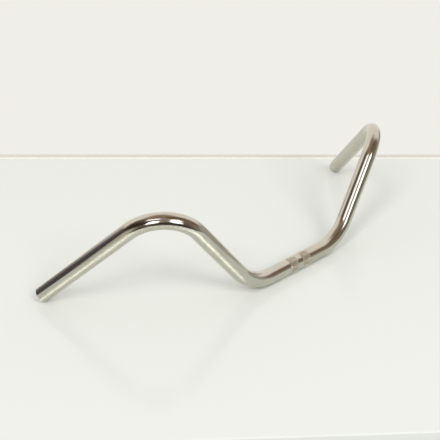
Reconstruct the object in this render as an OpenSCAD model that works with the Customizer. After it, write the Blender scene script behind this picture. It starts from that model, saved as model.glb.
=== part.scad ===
// Moped handlebar: one round steel tube, bent twice on each side, open at both ends.
// Two rolled knurled bands near its middle are the seat for the stem's clamp.
// The bar lies as it comes to rest: on the crests of the bands and on the rims of its two ends.
// The origin is on the surface it lies on, under the middle of its outer box. X runs from end to
// end of the bar, and the ends sweep towards +Y. All sizes are in millimetres.

/* [Tube] */
// Outside diameter of the tube
tube_diameter = 22.2; // [20:0.1:24]
// Wall thickness of the tube
wall = 2; // [1.5:0.1:3]
// Chamfer on the outer and the inner edge of each open end
end_chamfer = 0.5; // [0.2:0.1:0.7]

/* [Bends] */
// Straight in the middle, from one inner bend to the other
centre_straight = 112; // [100:1:140]
// Angle of each inner bend, where the tube leaves the middle and rises
inner_angle = 51; // [45:1:57]
// Radius of each inner bend, at the tube's centre line
inner_radius = 76; // [60:1:90]
// Straight from the inner bend to the outer bend
riser_straight = 99; // [90:1:110]
// Turn of the tube about its own line between its two bends
twist = 132; // [127:1:137]
// Angle of each outer bend, where the tube turns back down to the grip
outer_angle = 101; // [96:1:106]
// Radius of each outer bend, at the tube's centre line
outer_radius = 57; // [45:1:65]
// Straight for the grip and the levers, from the outer bend to the end
grip_straight = 162; // [150:1:180]
// How much bending draws the wall in, on its outside and its inside
bend_draw = 0.03; // [0.02:0.01:0.1]

/* [Clamp bands] */
// Length of each knurled band
band_length = 16; // [10:1:20]
// Plain length left between the two bands
band_gap = 10; // [6:1:16]
// Teeth round each band
teeth = 66; // [48:2:80]
// Height of the teeth above the tube
tooth_height = 0.35; // [0.2:0.05:0.5]
// Depth of the grooves below the tube's surface
groove_depth = 0.15; // [0.1:0.05:0.3]
// Part of each tooth that is flat at its crest
crest_flat = 0.35; // [0.2:0.05:0.5]

/* [Hidden] */
$fn = 96;

outer_r = tube_diameter / 2;
bore_r = outer_r - wall;
crest_r = outer_r + tooth_height;
groove_r = outer_r - groove_depth;
shoulder = (centre_straight - band_gap) / 2 - band_length;
// Length and height of the bevel that the ends of the bands are cut to
band_bevel = 2 * tooth_height;
// Angle that a bend laps into the straight on each side
bend_lap = 0.5;

// One side of the centre line, before the bar is leaned over: X along the middle straight, Z up
// in the plane of the inner bend. A bend moves the line on by its radius times [sin, 1 - cos].
riser_dir = [cos(inner_angle), 0, sin(inner_angle)];
riser_up = [-sin(inner_angle), 0, cos(inner_angle)];
riser_start = [centre_straight / 2 + inner_radius * sin(inner_angle), 0, inner_radius * (1 - cos(inner_angle))];
riser_end = riser_start + riser_straight * riser_dir;
// The way the outer bend turns, and the way the grip points
outer_up = cos(twist) * riser_up + sin(twist) * [0, 1, 0];
grip_dir = cos(outer_angle) * riser_dir + sin(outer_angle) * outer_up;
grip_start = riser_end + outer_radius * (sin(outer_angle) * riser_dir + (1 - cos(outer_angle)) * outer_up);
tip = grip_start + grip_straight * grip_dir;

// How far the rim of an end reaches past the middle of that end, along a line that the tube's
// direction has the share `along` of: either the chamfer's face edge or its outer edge
function rim_reach(along) =
    max((outer_r - end_chamfer) * sqrt(1 - along * along), outer_r * sqrt(1 - along * along) - end_chamfer * along);

// A vector's Y and Z parts once the bar is leaned by an angle about the middle straight
function leaned_y(v, lean) = v.y * cos(lean) - v.z * sin(lean);
function leaned_z(v, lean) = v.y * sin(lean) + v.z * cos(lean);

// Height of the ends' lowest rim above the surface at a lean, with the bands' crests on the surface
function rim_height(lean) = crest_r + leaned_z(tip, lean) - rim_reach(-leaned_z(grip_dir, lean));

// The lean at which the rims touch the surface too, found by halving the span `steps` times
function settle(low, high, steps) =
    let (mid = (low + high) / 2)
    steps == 0 ? mid : rim_height(mid) > 0 ? settle(low, mid, steps - 1) : settle(mid, high, steps - 1);
rest_lean = settle(-45, 45, 40);

// Middle of the outer box along Y: from the back of the bands to the rims of the ends
box_back = -crest_r;
box_front = leaned_y(tip, rest_lean) + rim_reach(leaned_y(grip_dir, rest_lean));
box_middle = (box_back + box_front) / 2;

// Section of the tube, with its wall thinner by `draw` on each side
module ring(draw = 0) {
    difference() {
        circle(r = outer_r - draw);
        circle(r = bore_r + draw);
    }
}

// Section of a knurled band: flat-crested teeth with V grooves between them
module toothed_ring() {
    pitch = 360 / teeth;
    corners = [[-crest_flat / 2, crest_r], [crest_flat / 2, crest_r], [1 / 2, groove_r]];
    difference() {
        polygon([
            for (i = [0 : teeth - 1], c = corners)
                c.y * [cos((i + c.x) * pitch), sin((i + c.x) * pitch)]
        ]);
        circle(r = bore_r);
    }
}

// The modules below lay the tube from one end, along +X, and put their children where it ends
module straight(length) {
    rotate([0, 90, 0])
        linear_extrude(length)
            ring();
    translate([length, 0, 0])
        children();
}

module knurled_band(length) {
    rotate([0, 90, 0])
        intersection() {
            linear_extrude(length)
                toothed_ring();
            rotate_extrude()
                polygon([
                    [0, 0],
                    [outer_r, 0],
                    [outer_r + band_bevel, band_bevel],
                    [outer_r + band_bevel, length - band_bevel],
                    [outer_r, length],
                    [0, length]
                ]);
        }
    translate([length, 0, 0])
        children();
}

// A bend towards +Z, round a centre that is one radius above the tube. Its drawn wall begins and
// ends a little way inside the full walls of its neighbours, so that they join as one solid.
module bend(angle, radius) {
    translate([0, 0, radius])
        rotate([90, 0, 0])
            rotate([0, 0, -90 - bend_lap])
                rotate_extrude(angle = angle + 2 * bend_lap)
                    translate([radius, 0])
                        ring(bend_draw);
    translate([radius * sin(angle), 0, radius * (1 - cos(angle))])
        rotate([0, -angle, 0])
            children();
}

// Turns what follows about the tube's own line, as a bending machine rolls the tube between bends
module roll(angle) {
    rotate([-angle, 0, 0])
        children();
}

module open_end() {
    rotate([0, 90, 0])
        rotate_extrude()
            polygon([
                [bore_r, 0],
                [outer_r, 0],
                [outer_r - end_chamfer, end_chamfer],
                [bore_r + end_chamfer, end_chamfer]
            ]);
}

module middle() {
    translate([-centre_straight / 2, 0, 0])
        straight(shoulder)
            knurled_band(band_length)
                straight(band_gap)
                    knurled_band(band_length)
                        straight(shoulder);
}

module arm() {
    translate([centre_straight / 2, 0, 0])
        bend(inner_angle, inner_radius)
            straight(riser_straight)
                roll(twist)
                    bend(outer_angle, outer_radius)
                        straight(grip_straight - end_chamfer)
                            open_end();
}

module handlebar_tube() {
    color([0.72, 0.69, 0.64])
        translate([0, -box_middle, crest_r])
            rotate([rest_lean, 0, 0]) {
                middle();
                arm();
                mirror([1, 0, 0])
                    arm();
            }
}

handlebar_tube();
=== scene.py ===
# %% [markdown]
# # A chromed moped handlebar
# The bar is one steel tube: bent twice on each side, rolled with two knurled bands in its middle
# where the stem clamps it, open at both ends, and plated with chrome over nickel. This file
# dresses the measured model of that tube, puts it on a pale table and lights it softly.
# The first cell loads the measured model. It is the frame that everything here is set against.

# %% Load the measured model
import math

import bmesh
import bpy
from mathutils import Matrix, Vector


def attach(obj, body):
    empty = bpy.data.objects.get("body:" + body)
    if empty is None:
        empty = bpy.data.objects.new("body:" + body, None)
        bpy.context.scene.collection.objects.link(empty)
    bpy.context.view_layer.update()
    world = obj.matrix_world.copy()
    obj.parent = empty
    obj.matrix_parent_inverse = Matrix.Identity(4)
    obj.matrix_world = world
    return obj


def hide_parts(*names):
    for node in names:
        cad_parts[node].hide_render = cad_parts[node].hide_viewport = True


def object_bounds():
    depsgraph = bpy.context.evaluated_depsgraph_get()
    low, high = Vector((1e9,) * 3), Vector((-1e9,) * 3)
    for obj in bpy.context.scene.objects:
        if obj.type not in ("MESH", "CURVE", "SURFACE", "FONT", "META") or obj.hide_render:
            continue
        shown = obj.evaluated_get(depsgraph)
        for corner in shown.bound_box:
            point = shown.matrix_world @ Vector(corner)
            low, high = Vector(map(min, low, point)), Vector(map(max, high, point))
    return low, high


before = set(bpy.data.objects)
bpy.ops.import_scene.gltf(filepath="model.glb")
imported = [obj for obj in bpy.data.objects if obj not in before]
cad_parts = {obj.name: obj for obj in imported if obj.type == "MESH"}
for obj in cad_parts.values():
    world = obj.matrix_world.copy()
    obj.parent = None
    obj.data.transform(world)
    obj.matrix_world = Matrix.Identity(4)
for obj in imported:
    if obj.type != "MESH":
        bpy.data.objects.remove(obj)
CAD_BOX = [list(corner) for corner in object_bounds()]
print("measured box", [[round(v, 4) for v in corner] for corner in CAD_BOX])

# %% [markdown]
# ## The bending sheet
# A bender reads a bar as a list: how much tube to feed, how far to bend it and round what radius,
# and how far to roll it about itself before the next bend. The same list drives this model, so
# the tube has true round bends with tangents that meet. Lengths are in metres.

# %% Write down the bending sheet
TUBE_RADIUS = 0.0111
BORE_RADIUS = 0.0091
RIM_CHAMFER = 0.0005
CENTRE_STRAIGHT = 0.112
INNER_ANGLE, INNER_RADIUS = math.radians(51), 0.076
RISER_STRAIGHT = 0.099
ROLL = math.radians(132)
OUTER_ANGLE, OUTER_RADIUS = math.radians(101), 0.057
GRIP_STRAIGHT = 0.162
BAND_LENGTH, BAND_GAP = 0.016, 0.010
TEETH, TOOTH_HEIGHT, GROOVE_DEPTH = 66, 0.00035, 0.00015

# How the bar lies at rest: leaned about its middle straight until both rims touch the table, and
# moved back so that the origin is under the middle of its outer box
LEAN = math.radians(-11.0287394)
MOVED_BACK = 0.0840554
REST_PLACE = Matrix.Translation((0, -MOVED_BACK, TUBE_RADIUS + TOOTH_HEIGHT))
REST = REST_PLACE @ Matrix.Rotation(LEAN, 4, "X")
straights = CENTRE_STRAIGHT + 2 * (RISER_STRAIGHT + GRIP_STRAIGHT)
bends = 2 * (INNER_ANGLE * INNER_RADIUS + OUTER_ANGLE * OUTER_RADIUS)
print("tube length, mm:", round(1000 * (straights + bends)))

# %% [markdown]
# ## Laying the tube
# The section of the tube is one circle of edges. A straight is that circle extruded and moved
# along; a bend is the same circle spun about the centre of the bend. Both leave a new circle at
# the end, and the next step starts there. This follows the bender's own order, so it needs no
# list of points, and every ring of the mesh stands square to the tube.
# The circle has three points for each tooth of the knurl: two for its crest, one for the groove.

# %% Make the helpers that feed and bend the tube
RING_POINTS = 3 * TEETH
BEND_STEP = math.radians(2.5)


def circle_across(mesh, radius):
    """A circle of edges square to +X, with its middle at the origin."""
    verts = bmesh.ops.create_circle(mesh, cap_ends=False, segments=RING_POINTS, radius=radius)["verts"]
    upright = Matrix.Rotation(math.radians(90), 3, "Y")
    bmesh.ops.rotate(mesh, verts=verts, cent=(0, 0, 0), matrix=upright)
    return list({edge for vert in verts for edge in vert.link_edges})


def points_of(edges):
    return list({vert for edge in edges for vert in edge.verts})


def feed(mesh, ring, place, length):
    """Extrudes the ring along the tube. Returns the new ring and where the tube now ends."""
    made = bmesh.ops.extrude_edge_only(mesh, edges=ring)["geom"]
    new = [item for item in made if isinstance(item, bmesh.types.BMVert)]
    bmesh.ops.translate(mesh, verts=new, vec=place.to_3x3() @ Vector((length, 0, 0)))
    ends = set(new)
    new_ring = [e for e in made if isinstance(e, bmesh.types.BMEdge) and ends.issuperset(e.verts)]
    return new_ring, place @ Matrix.Translation((length, 0, 0))


def bend(mesh, ring, place, angle, radius):
    """Spins the ring about the centre of a bend. Returns the new ring and where the tube now ends."""
    made = bmesh.ops.spin(
        mesh,
        geom=ring + points_of(ring),
        cent=place @ Vector((0, 0, radius)),
        axis=place.to_3x3() @ Vector((0, -1, 0)),
        angle=angle,
        steps=round(angle / BEND_STEP),
        use_merge=False,
    )["geom_last"]
    new_ring = [e for e in made if isinstance(e, bmesh.types.BMEdge)]
    turn = Matrix.Translation((radius * math.sin(angle), 0, radius * (1 - math.cos(angle))))
    return new_ring, place @ turn @ Matrix.Rotation(-angle, 4, "Y")


def resize_ring(mesh, ring, place, factor):
    """Opens or closes a ring about the middle of the tube."""
    bmesh.ops.scale(mesh, verts=points_of(ring), vec=(factor, factor, factor), space=place.inverted())


print("points round the tube:", RING_POINTS)

# %% [markdown]
# ## The knurled bands
# On the real bar a toothed roller presses these bands into the tube: the metal that leaves the
# grooves rises into the teeth, which bite into the stem's clamp. Here the band is fed like any
# straight, with a ring just inside each end where the teeth have reached their height. Every
# third point of such a ring goes down into a groove and the others go up to the crests.

# %% Make the helper that rolls a band
BAND_BEVEL = 2 * TOOTH_HEIGHT


def shape_teeth(mesh, ring, place):
    """Raises the crests of a ring and lowers its grooves."""
    inverse = place.inverted()
    around = sorted(points_of(ring), key=lambda v: math.atan2((inverse @ v.co).y, (inverse @ v.co).z))
    grooves, crests = around[2::3], [v for i, v in enumerate(around) if i % 3 != 2]
    for verts, radius in ((grooves, TUBE_RADIUS - GROOVE_DEPTH), (crests, TUBE_RADIUS + TOOTH_HEIGHT)):
        factor = radius / TUBE_RADIUS
        bmesh.ops.scale(mesh, verts=verts, vec=(1, factor, factor), space=inverse)


def roll_band(mesh, ring, place, length):
    """Feeds a band of teeth. Returns the new ring and where the tube now ends."""
    rings = []
    for part in (BAND_BEVEL, length - 2 * BAND_BEVEL):
        ring, place = feed(mesh, ring, place, part)
        rings.append((ring, place))
    ring, place = feed(mesh, ring, place, BAND_BEVEL)
    for toothed, where in rings:
        shape_teeth(mesh, toothed, where)
    return ring, place


print("tooth pitch, mm:", round(2000 * math.pi * TUBE_RADIUS / TEETH, 2))

# %% [markdown]
# ## One half of the bar
# Both sides are alike, so only the +X side is laid: first the outside of the tube with its band,
# then the bore along the same route. At the end of the tube each of the two gets its half of the
# deburring chamfer, and the rim is the bridge between them. The mirror closes the bar in the
# middle, where the two halves share a ring.

# %% Lay the outside and the bore, and close the rim
def lay_side(mesh, radius, banded):
    """Lays the +X half of one wall of the tube. Returns the ring at the tip and its place."""
    ring, place = circle_across(mesh, radius), Matrix.Identity(4)
    ring, place = feed(mesh, ring, place, BAND_GAP / 2)
    if banded:
        ring, place = roll_band(mesh, ring, place, BAND_LENGTH)
    else:
        ring, place = feed(mesh, ring, place, BAND_LENGTH)
    ring, place = feed(mesh, ring, place, CENTRE_STRAIGHT / 2 - BAND_GAP / 2 - BAND_LENGTH)
    ring, place = bend(mesh, ring, place, INNER_ANGLE, INNER_RADIUS)
    ring, place = feed(mesh, ring, place, RISER_STRAIGHT)
    place = place @ Matrix.Rotation(-ROLL, 4, "X")
    ring, place = bend(mesh, ring, place, OUTER_ANGLE, OUTER_RADIUS)
    return feed(mesh, ring, place, GRIP_STRAIGHT - RIM_CHAMFER)


bar = bmesh.new()
rims = []
for wall_radius, banded, step in ((TUBE_RADIUS, True, -RIM_CHAMFER), (BORE_RADIUS, False, RIM_CHAMFER)):
    end, where = lay_side(bar, wall_radius, banded)
    end, where = feed(bar, end, where, RIM_CHAMFER)
    resize_ring(bar, end, where, (wall_radius + step) / wall_radius)
    rims.append((end, where))
bmesh.ops.bridge_loops(bar, edges=rims[0][0] + rims[1][0])
print("half of the bar:", len(bar.faces), "faces")

# %% [markdown]
# ## The whole bar, at rest
# The mirror makes the -X side. Faces are then turned outwards, on the bore towards the middle of
# the tube. The tube is shaded smooth so that chrome mirrors cleanly on it, and every edge that a
# finger would feel, on the teeth and at the rims, is marked sharp. Last, the mesh is leaned into
# the place where the bar lies.

# %% Mirror, smooth and lean the bar
SHARP_ANGLE = math.radians(22)
WELD = 1e-6
half = bar.verts[:] + bar.edges[:] + bar.faces[:]
bmesh.ops.mirror(bar, geom=half, matrix=Matrix.Identity(4), merge_dist=WELD, axis="X")
bmesh.ops.remove_doubles(bar, verts=bar.verts[:], dist=WELD)
bmesh.ops.recalc_face_normals(bar, faces=bar.faces[:])
for face in bar.faces:
    face.smooth = True
for edge in bar.edges:
    edge.smooth = edge.calc_face_angle(math.pi) < SHARP_ANGLE
open_edges = sum(len(edge.link_faces) != 2 for edge in bar.edges)
bmesh.ops.transform(bar, matrix=REST, verts=bar.verts[:])
print("whole bar:", len(bar.faces), "faces,", open_edges, "open edges")
print("volume, cm3:", round(1e6 * bar.calc_volume(signed=True), 1))

# %% [markdown]
# ## Which faces are knurled
# The bands have their own finish, so their faces get the second material. A face belongs to a
# band if its middle lies within the band's length along X on the middle straight.

# %% Turn the mesh into an object and mark the bands
for face in bar.faces:
    middle = face.calc_center_median()
    off_axis = (REST.inverted() @ middle).yz.length
    on_band = BAND_GAP / 2 < abs(middle.x) < BAND_GAP / 2 + BAND_LENGTH
    face.material_index = int(on_band and off_axis > (TUBE_RADIUS + BORE_RADIUS) / 2)
tube_mesh = bpy.data.meshes.new("chromed_handlebar")
bar.to_mesh(tube_mesh)
bar.free()
handlebar = bpy.data.objects.new("chromed_handlebar", tube_mesh)
bpy.context.scene.collection.objects.link(handlebar)
low = [min(v.co[i] for v in tube_mesh.vertices) for i in range(3)]
high = [max(v.co[i] for v in tube_mesh.vertices) for i in range(3)]
print("drawn box, mm:", [round(1000 * (b - a), 2) for a, b in zip(low, high)])
off = [drawn - measured for drawn, measured in zip(low + high, CAD_BOX[0] + CAD_BOX[1])]
print("off the measured box, mm:", [round(1000 * v, 3) for v in off])

# %% [markdown]
# ## Node helpers
# A material or a sky is a small network: some nodes make numbers from a point or a direction, and
# others blend colours with them. These helpers add one node each and join it up.

# %% Make the node helpers
class Network:
    """Adds nodes to a material or a world. A value is a number, a colour or another node's output."""

    def __init__(self, owner):
        owner.use_nodes = True
        self.tree = owner.node_tree
        self.tree.nodes.clear()

    def add(self, kind, inputs=None, **settings):
        node = self.tree.nodes.new(kind)
        for name, value in settings.items():
            setattr(node, name, value)
        for name, value in (inputs or {}).items():
            if isinstance(value, bpy.types.NodeSocket):
                self.tree.links.new(value, node.inputs[name])
            else:
                node.inputs[name].default_value = value
        return node

    def math(self, operation, a, b=0.0, clamp=False):
        return self.add("ShaderNodeMath", {0: a, 1: b}, operation=operation, use_clamp=clamp).outputs[0]

    def span(self, value, start, end, low=0.0, high=1.0):
        """Goes smoothly from low to high as value goes from start to end."""
        inputs = {"Value": value, "From Min": start, "From Max": end, "To Min": low, "To Max": high}
        return self.add("ShaderNodeMapRange", inputs, interpolation_type="SMOOTHSTEP").outputs[0]

    def blend(self, factor, a, b):
        """Colour a where factor is 0, colour b where it is 1."""
        return self.add("ShaderNodeMix", {0: factor, 6: a, 7: b}, data_type="RGBA").outputs[2]

    def scaled(self, colour, factor):
        """A colour times a factor that is another node's output."""
        inputs = {0: colour, "Scale": factor}
        return self.add("ShaderNodeVectorMath", inputs, operation="SCALE").outputs[0]


def screen(red, green, blue):
    """A colour as a screen shows it, 0 to 255, as the linear colour that a node wants."""
    level = [c / 255 for c in (red, green, blue)]
    return [c / 12.92 if c <= 0.04045 else ((c + 0.055) / 1.055) ** 2.4 for c in level] + [1.0]


print("mid grey is", [round(c, 3) for c in screen(128, 128, 128)])

# %% [markdown]
# ## The chrome
# Bright plating is a near mirror: fully metallic, with very low roughness. On an old bar it isn't
# perfect. It has a warm cast where the nickel shows through, a faint haze that comes and goes
# along the tube, hairline scratches from years of wiping, and fine pits. The haze and scratches
# go into the roughness and the bump, because that is how light finds them on the real thing.

# %% Mix the chrome
CHROME = (0.61, 0.61, 0.55, 1.0)
WARM_CHROME = (0.58, 0.561, 0.484, 1.0)
PIT_COLOUR, PIT_STRENGTH = (120, 100, 84), 0.35
CLEAR_ROUGHNESS, HAZY_ROUGHNESS = 0.09, 0.15
SCRATCH_ROUGHNESS, PIT_ROUGHNESS = 0.06, 0.12
HAZE_HEIGHT, SCRATCH_DEPTH = 0.12, 0.04
# Stretches the noise of the scratches along X, from end to end of the bar
WIPE_SCALE = (140.0, 2600.0, 1500.0)


def noise(net, point, **settings):
    """A cloudy pattern from 0 to 1."""
    return net.add("ShaderNodeTexNoise", {"Vector": point, **settings}).outputs[0]


def bumps(net, height, strength, distance):
    """Turns a height into small bumps that only the light feels."""
    inputs = {"Height": height, "Strength": strength, "Distance": distance}
    return net.add("ShaderNodeBump", inputs).outputs[0]


def metal(net, tint, rough, bump):
    """Ends a material as bare metal."""
    inputs = {"Base Color": tint, "Metallic": 1.0, "Roughness": rough, "Normal": bump}
    surface = net.add("ShaderNodeBsdfPrincipled", inputs)
    net.add("ShaderNodeOutputMaterial", {"Surface": surface.outputs[0]})


def chrome():
    material = bpy.data.materials.new("chromed_tube")
    net = Network(material)
    point = net.add("ShaderNodeTexCoord").outputs["Object"]
    haze = noise(net, point, Scale=28.0, Detail=5.0, Roughness=0.6)
    pits = noise(net, point, Scale=900.0, Detail=2.0)
    stretched = net.add("ShaderNodeMapping", {"Vector": point, "Scale": WIPE_SCALE}).outputs[0]
    wiped = noise(net, stretched, Scale=1.0, Detail=3.0)
    pitted = net.span(pits, 0.66, 0.74)
    scratch = net.span(wiped, 0.6, 0.72)
    tint = net.blend(net.span(haze, 0.35, 0.7), CHROME, WARM_CHROME)
    tint = net.blend(net.math("MULTIPLY", pitted, PIT_STRENGTH), tint, screen(*PIT_COLOUR))
    rough = net.span(haze, 0.3, 0.75, CLEAR_ROUGHNESS, HAZY_ROUGHNESS)
    rough = net.math("ADD", rough, net.math("MULTIPLY", scratch, SCRATCH_ROUGHNESS))
    rough = net.math("ADD", rough, net.math("MULTIPLY", pitted, PIT_ROUGHNESS))
    raised = net.math("MULTIPLY", haze, HAZE_HEIGHT)
    height = net.math("SUBTRACT", raised, net.math("MULTIPLY", scratch, SCRATCH_DEPTH))
    metal(net, tint, rough, bumps(net, height, strength=0.12, distance=0.0002))
    return material


tube_mesh.materials.append(chrome())
print("first finish:", tube_mesh.materials[0].name)

# %% [markdown]
# ## The knurled finish
# The same plating lies on the teeth, but it looks duller there: the teeth break the mirror up, and
# grime stays in their grooves. So this finish is rougher, speckled in two pale greys, and has a
# fine grain. It is the second material, which the faces of the bands already ask for. With both
# finishes on, the drawn tube takes the place of the measured one.

# %% Mix the knurled finish and put the drawn tube in its place
KNURL_PALE, KNURL_GRIMY = (232, 231, 218), (212, 209, 195)
KNURL_ROUGHNESS = (0.24, 0.38)


def knurled_chrome():
    material = bpy.data.materials.new("knurled_band")
    net = Network(material)
    point = net.add("ShaderNodeTexCoord").outputs["Object"]
    grime = noise(net, point, Scale=420.0, Detail=6.0, Roughness=0.65)
    grain = noise(net, point, Scale=2500.0, Detail=2.0)
    tint = net.blend(net.span(grime, 0.4, 0.65), screen(*KNURL_PALE), screen(*KNURL_GRIMY))
    rough = net.span(grime, 0.3, 0.7, *KNURL_ROUGHNESS)
    metal(net, tint, rough, bumps(net, grain, strength=0.35, distance=0.0001))
    return material


tube_mesh.materials.append(knurled_chrome())
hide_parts("handlebar_tube")
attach(handlebar, "root")
print("finishes:", [m.name for m in tube_mesh.materials])

# %% [markdown]
# ## The camera
# The camera stands where the photograph was taken from: in front of the bar, well to its left and
# above it, looking down. It is turned three ways, as a tripod head is: panned along the bar,
# tipped down, and rolled a little, since the real camera wasn't held quite level.

# %% Set up the camera
CAMERA_PLACE = (-0.89322, -0.76591, 0.66268)
LOOK_ALONG = math.radians(47.032)
LOOK_DOWN = math.radians(27.818)
CAMERA_ROLL = math.radians(2.879)
SENSOR_WIDTH, FOCAL_LENGTH = 36.0, 74.877
lens = bpy.data.cameras.new("camera")
lens.sensor_width = SENSOR_WIDTH
lens.lens = FOCAL_LENGTH
lens.clip_start = 0.01
camera = bpy.data.objects.new("camera", lens)
pan = Matrix.Rotation(-LOOK_ALONG, 4, "Z")
tip = Matrix.Rotation(math.pi / 2 - LOOK_DOWN, 4, "X")
level = Matrix.Rotation(CAMERA_ROLL, 4, "Z")
camera.matrix_world = Matrix.Translation(CAMERA_PLACE) @ pan @ tip @ level
bpy.context.scene.collection.objects.link(camera)
bpy.context.scene.camera = camera
print("camera height, mm:", round(1000 * CAMERA_PLACE[2]))

# %% [markdown]
# ## Paint for the table
# The bar lies on a pale table, and a thin strip stands along the table's far edge. The strip is
# plain matt paint. The table has a faint gloss over a matt body, and the gloss is stronger and
# softer for what the chrome sees of it. There it sends the light of the windows up into the bar's
# underside, as two thin bright lines, and a sharper gloss would break the lines up.

# %% Mix the table's paints
# Share and roughness of the gloss: as the camera sees the table, then as the chrome does
TABLE_GLOSS = (0.07, 0.22)
TABLE_ROUGHNESS = (0.16, 0.33)
GLOSS_TINT = (1.0, 0.97, 0.85, 1.0)


def matt(net, colour):
    """A surface without any shine."""
    inputs = {"Base Color": screen(*colour), "Roughness": 1.0, "Specular IOR Level": 0.0}
    return net.add("ShaderNodeBsdfPrincipled", inputs).outputs[0]


def strip_paint(name, colour):
    material = bpy.data.materials.new(name)
    net = Network(material)
    net.add("ShaderNodeOutputMaterial", {"Surface": matt(net, colour)})
    return material


def tabletop(colour):
    material = bpy.data.materials.new("pale_tabletop")
    net = Network(material)
    by_chrome = net.add("ShaderNodeLightPath").outputs["Is Glossy Ray"]
    share = net.span(by_chrome, 0, 1, *TABLE_GLOSS)
    rough = net.span(by_chrome, 0, 1, *TABLE_ROUGHNESS)
    gloss = net.add("ShaderNodeBsdfAnisotropic", {"Color": GLOSS_TINT, "Roughness": rough})
    inputs = {0: share, 1: matt(net, colour), 2: gloss.outputs[0]}
    surface = net.add("ShaderNodeMixShader", inputs)
    net.add("ShaderNodeOutputMaterial", {"Surface": surface.outputs[0]})
    return material


pale = tabletop((235, 238, 234))
white = strip_paint("strip_white", (248, 247, 243))
grey = strip_paint("strip_grey", (217, 214, 207))
print("paints:", [paint.name for paint in (pale, white, grey)])

# %% [markdown]
# ## The table
# The table's far edge crosses the picture just behind the far grip, where the strip stands
# against it: white at its foot, greyer above. Each of the three is a cube scaled flat, with its
# edges rounded by a bevel, and turned to face the camera.

# %% Make the table and the strip behind it
TABLE_HEADING = math.radians(39.97)
NEAR_EDGE, FAR_EDGE = -0.413, 0.3205
LEFT_EDGE, RIGHT_EDGE = -1.05, 0.57
TABLE_THICKNESS = 0.03
STRIP_THICKNESS, STRIP_OVERLAP = 0.003, 0.001
STRIP_FOOT, STRIP_TOP = 0.0015, 0.0052
TABLE_CORNER, STRIP_CORNER = 0.002, 0.0002


def stage_slab(name, material, near, far, low, high, corner):
    """Puts a slab as wide as the table into the scene."""
    slab = bmesh.new()
    bmesh.ops.create_cube(slab, size=1.0)
    size = (RIGHT_EDGE - LEFT_EDGE, far - near, high - low)
    bmesh.ops.scale(slab, verts=slab.verts[:], vec=size)
    bmesh.ops.bevel(
        slab, geom=slab.edges[:], offset=corner, segments=3, profile=0.5, affect="EDGES", material=-1
    )
    middle = Vector((LEFT_EDGE + RIGHT_EDGE, near + far, low + high)) / 2
    turn = Matrix.Rotation(-TABLE_HEADING, 4, "Z")
    bmesh.ops.transform(slab, matrix=turn @ Matrix.Translation(middle), verts=slab.verts[:])
    mesh = bpy.data.meshes.new(name)
    slab.to_mesh(mesh)
    slab.free()
    mesh.materials.append(material)
    made = bpy.data.objects.new(name, mesh)
    bpy.context.scene.collection.objects.link(made)
    print(name, "reaches up to z, mm:", round(1000 * high, 1))


front, back = FAR_EDGE - STRIP_OVERLAP, FAR_EDGE + STRIP_THICKNESS
stage_slab("table", pale, NEAR_EDGE, FAR_EDGE, -TABLE_THICKNESS, 0, TABLE_CORNER)
stage_slab("strip_foot", white, front, back, -TABLE_THICKNESS, STRIP_FOOT, STRIP_CORNER)
stage_slab("strip_top", grey, front, back, STRIP_FOOT, STRIP_TOP, STRIP_CORNER)

# %% [markdown]
# ## The room
# Chrome has hardly a colour of its own: what it shows is the room. So the sky here is a plain
# room, given by direction: a pale wall ahead, brown shade behind and to the left, and a dull
# ceiling. Each part is a patch with soft edges, set by its heading and its height. The heading
# counts from +Y towards +X, in degrees.
# The windows are patches that add light, and they make the bar's pairs of white streaks. Some are
# seen straight in the chrome, and others by way of the table's gloss.

# %% List the room's walls and windows
# start, end, low, high, soft edge, colour on a screen as the chrome shows it
PATCHES = [
    (-180, 180, -90, -4, 6, (92, 85, 74)),
    (-42, 116, -90, 66, 16, (206, 199, 185)),
    (-4, 64, -44, -9, 6, (186, 184, 173)),
    (82, 168, -11, 14, 7, (143, 139, 125)),
    (143, 162, -8, 13, 5, (108, 104, 90)),
    (118, 172, 12, 62, 9, (106, 88, 71)),
    (136, 196, 46, 72, 7, (96, 78, 62)),
    (162, 196, -14, 24, 8, (90, 80, 73)),
    (-182, -136, -22, 8, 6, (50, 48, 40)),
    (-166, -132, 34, 54, 6, (130, 126, 120)),
    (-108, -45, 30, 58, 8, (88, 75, 63)),
    (-122, -56, -30, 40, 11, (44, 33, 25)),
    (-110, -73, -34, 4, 9, (160, 156, 136)),
    (-16, 4, -14, 9, 3, (104, 98, 92)),
    (-36, -16, -18, 17, 5, (84, 75, 71)),
    (-68, -30, -20, 18, 6, (66, 60, 63)),
]
# heading, lowest and highest angle, half width, brightness straight in the chrome and by the table
WINDOWS = [
    (-130, 7, 26, 9, 4.5, 0.0),
    (-168, 5, 25, 8, 4.5, 0.0),
    (-119, 46, 57, 21, 1.6, 0.0),
    (-176, 25, 41, 12, 2.7, 0.0),
    (-116, 37, 63, 11, 0.0, 6.6),
    (-179, 38, 60, 11, 0.0, 9.2),
]
print("patches:", len(PATCHES), "and windows:", len(WINDOWS))

# %% [markdown]
# ## The sky made from the list
# A sky gets a direction and answers with a colour. The direction is turned into a heading and a
# height, and the patches are blended over each other in the order of the list. The chrome then
# tints what it shows, so each colour is first divided by the chrome's own.
# A light path tells who is asking. A ray with a glossy depth of 2 has been mirrored twice, by the
# chrome and the table, so windows seen that way can have a strength and place of their own. The
# camera itself sees the pale wall everywhere, and matt things take an even light from all round.

# %% Paint the room
# Behind every patch, and behind the table as the camera sees it
BROWN_SHADE, PALE_WALL = (124, 105, 86), (240, 238, 232)
WINDOW_TINT, WINDOW_EDGE = (1.0, 0.98, 1.0), 2
EVEN_LIGHT, AMBIENT = (1.0, 1.0, 0.99, 1.0), 0.665


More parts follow.
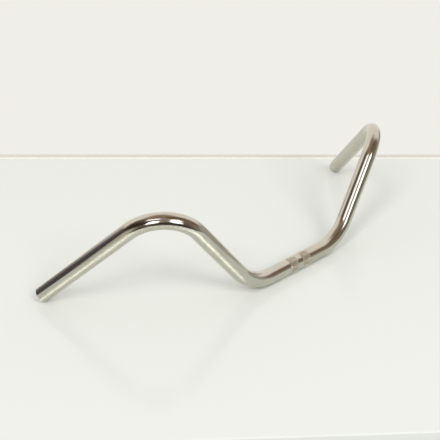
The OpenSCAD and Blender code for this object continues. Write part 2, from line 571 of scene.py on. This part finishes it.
def room():
    world = bpy.data.worlds.new("room")
    bpy.context.scene.world = world
    net = Network(world)
    direction = net.add("ShaderNodeTexCoord").outputs["Generated"]
    to = net.add("ShaderNodeSeparateXYZ", {0: direction}).outputs
    heading = net.math("DEGREES", net.math("ARCTAN2", to[0], to[1]))
    height = net.math("DEGREES", net.math("ARCSINE", to[2]))

    def patch(start, end, low, high, soft):
        """1 inside a span of headings and heights, fading out over soft degrees."""
        half = (end - start) / 2
        away = net.math("SUBTRACT", heading, (start + end) / 2)
        away = net.add("ShaderNodeMath", {0: away, 1: 180.0, 2: -180.0}, operation="WRAP").outputs[0]
        away = net.math("ABSOLUTE", away)
        side = net.span(away, half - soft, half + soft, 1.0, 0.0)
        up = net.span(height, low - soft, low + soft)
        down = net.span(height, high - soft, high + soft, 1.0, 0.0)
        return net.math("MULTIPLY", net.math("MULTIPLY", side, up), down)

    def lit(colour):
        """The room's own colour, where the chrome shows it as this one."""
        return [c / own for c, own in zip(screen(*colour), CHROME)]

    shade = lit(BROWN_SHADE)
    for start, end, low, high, soft, colour in PATCHES:
        shade = net.blend(patch(start, end, low, high, soft), shade, lit(colour))
    wall = screen(*PALE_WALL)
    ray = net.add("ShaderNodeLightPath").outputs
    for middle, low, high, half_width, in_chrome, in_gloss in WINDOWS:
        window = patch(middle - half_width, middle + half_width, low, high, WINDOW_EDGE)
        glare = net.span(ray["Glossy Depth"], 1, 2, in_chrome, in_gloss)
        added = net.scaled(WINDOW_TINT, net.math("MULTIPLY", window, glare))
        shade = net.add("ShaderNodeVectorMath", {0: shade, 1: added}).outputs[0]
    seen = net.add("ShaderNodeBackground", {"Color": wall, "Strength": 1.0}).outputs[0]
    mirrored = net.add("ShaderNodeBackground", {"Color": shade, "Strength": 1.0}).outputs[0]
    light = net.add("ShaderNodeBackground", {"Color": EVEN_LIGHT, "Strength": AMBIENT}).outputs[0]
    out = net.add("ShaderNodeMixShader", {0: ray["Is Glossy Ray"], 1: light, 2: mirrored}).outputs[0]
    out = net.add("ShaderNodeMixShader", {0: ray["Is Camera Ray"], 1: out, 2: seen}).outputs[0]
    net.add("ShaderNodeOutputWorld", {"Surface": out})


room()
print("nodes in the sky:", len(bpy.context.scene.world.node_tree.nodes))

# %% [markdown]
# ## The lamps
# Two tall, soft lamps stand where the windows are, behind the camera to its left and its right.
# They only light the table and give the bar its soft shadows there. The chrome and the camera
# don't see them, because the room's own windows already give the streaks.

# %% Hang the two lamps
# heading, lowest and highest angle, half width in degrees
LAMPS = [(-108, 32, 58, 9), (-168, 28, 52, 9)]
LAMP_DISTANCE = 4.0
LAMP_LEVEL = 8.3
LAMP_TINT = (1.0, 0.98, 0.95)
for number, (heading, low_angle, high_angle, half_width) in enumerate(LAMPS):
    foot, top = (LAMP_DISTANCE * math.tan(math.radians(a)) for a in (low_angle, high_angle))
    light = bpy.data.lights.new(f"soft_lamp_{number}", "AREA")
    light.shape = "RECTANGLE"
    light.size = 2 * LAMP_DISTANCE * math.tan(math.radians(half_width))
    light.size_y = top - foot
    light.energy = LAMP_LEVEL * math.pi * light.size * light.size_y
    light.color = LAMP_TINT
    lamp = bpy.data.objects.new(light.name, light)
    away = Vector((math.sin(math.radians(heading)), math.cos(math.radians(heading)), 0))
    lamp.location = away * LAMP_DISTANCE + Vector((0, 0, (foot + top) / 2))
    lamp.rotation_euler = away.to_track_quat("Z", "Y").to_euler()
    lamp.visible_camera = lamp.visible_glossy = False
    bpy.context.scene.collection.objects.link(lamp)
    print(light.name, "watts", round(light.energy))

# %% [markdown]
# ## Finish
# Colours come out as they are written with the Standard view, which the last line sets. The two boxes
# were printed further up, so that the drawn bar can be set against the measured one.

# %% Set the view transform
bpy.context.scene.view_settings.view_transform = "Standard"
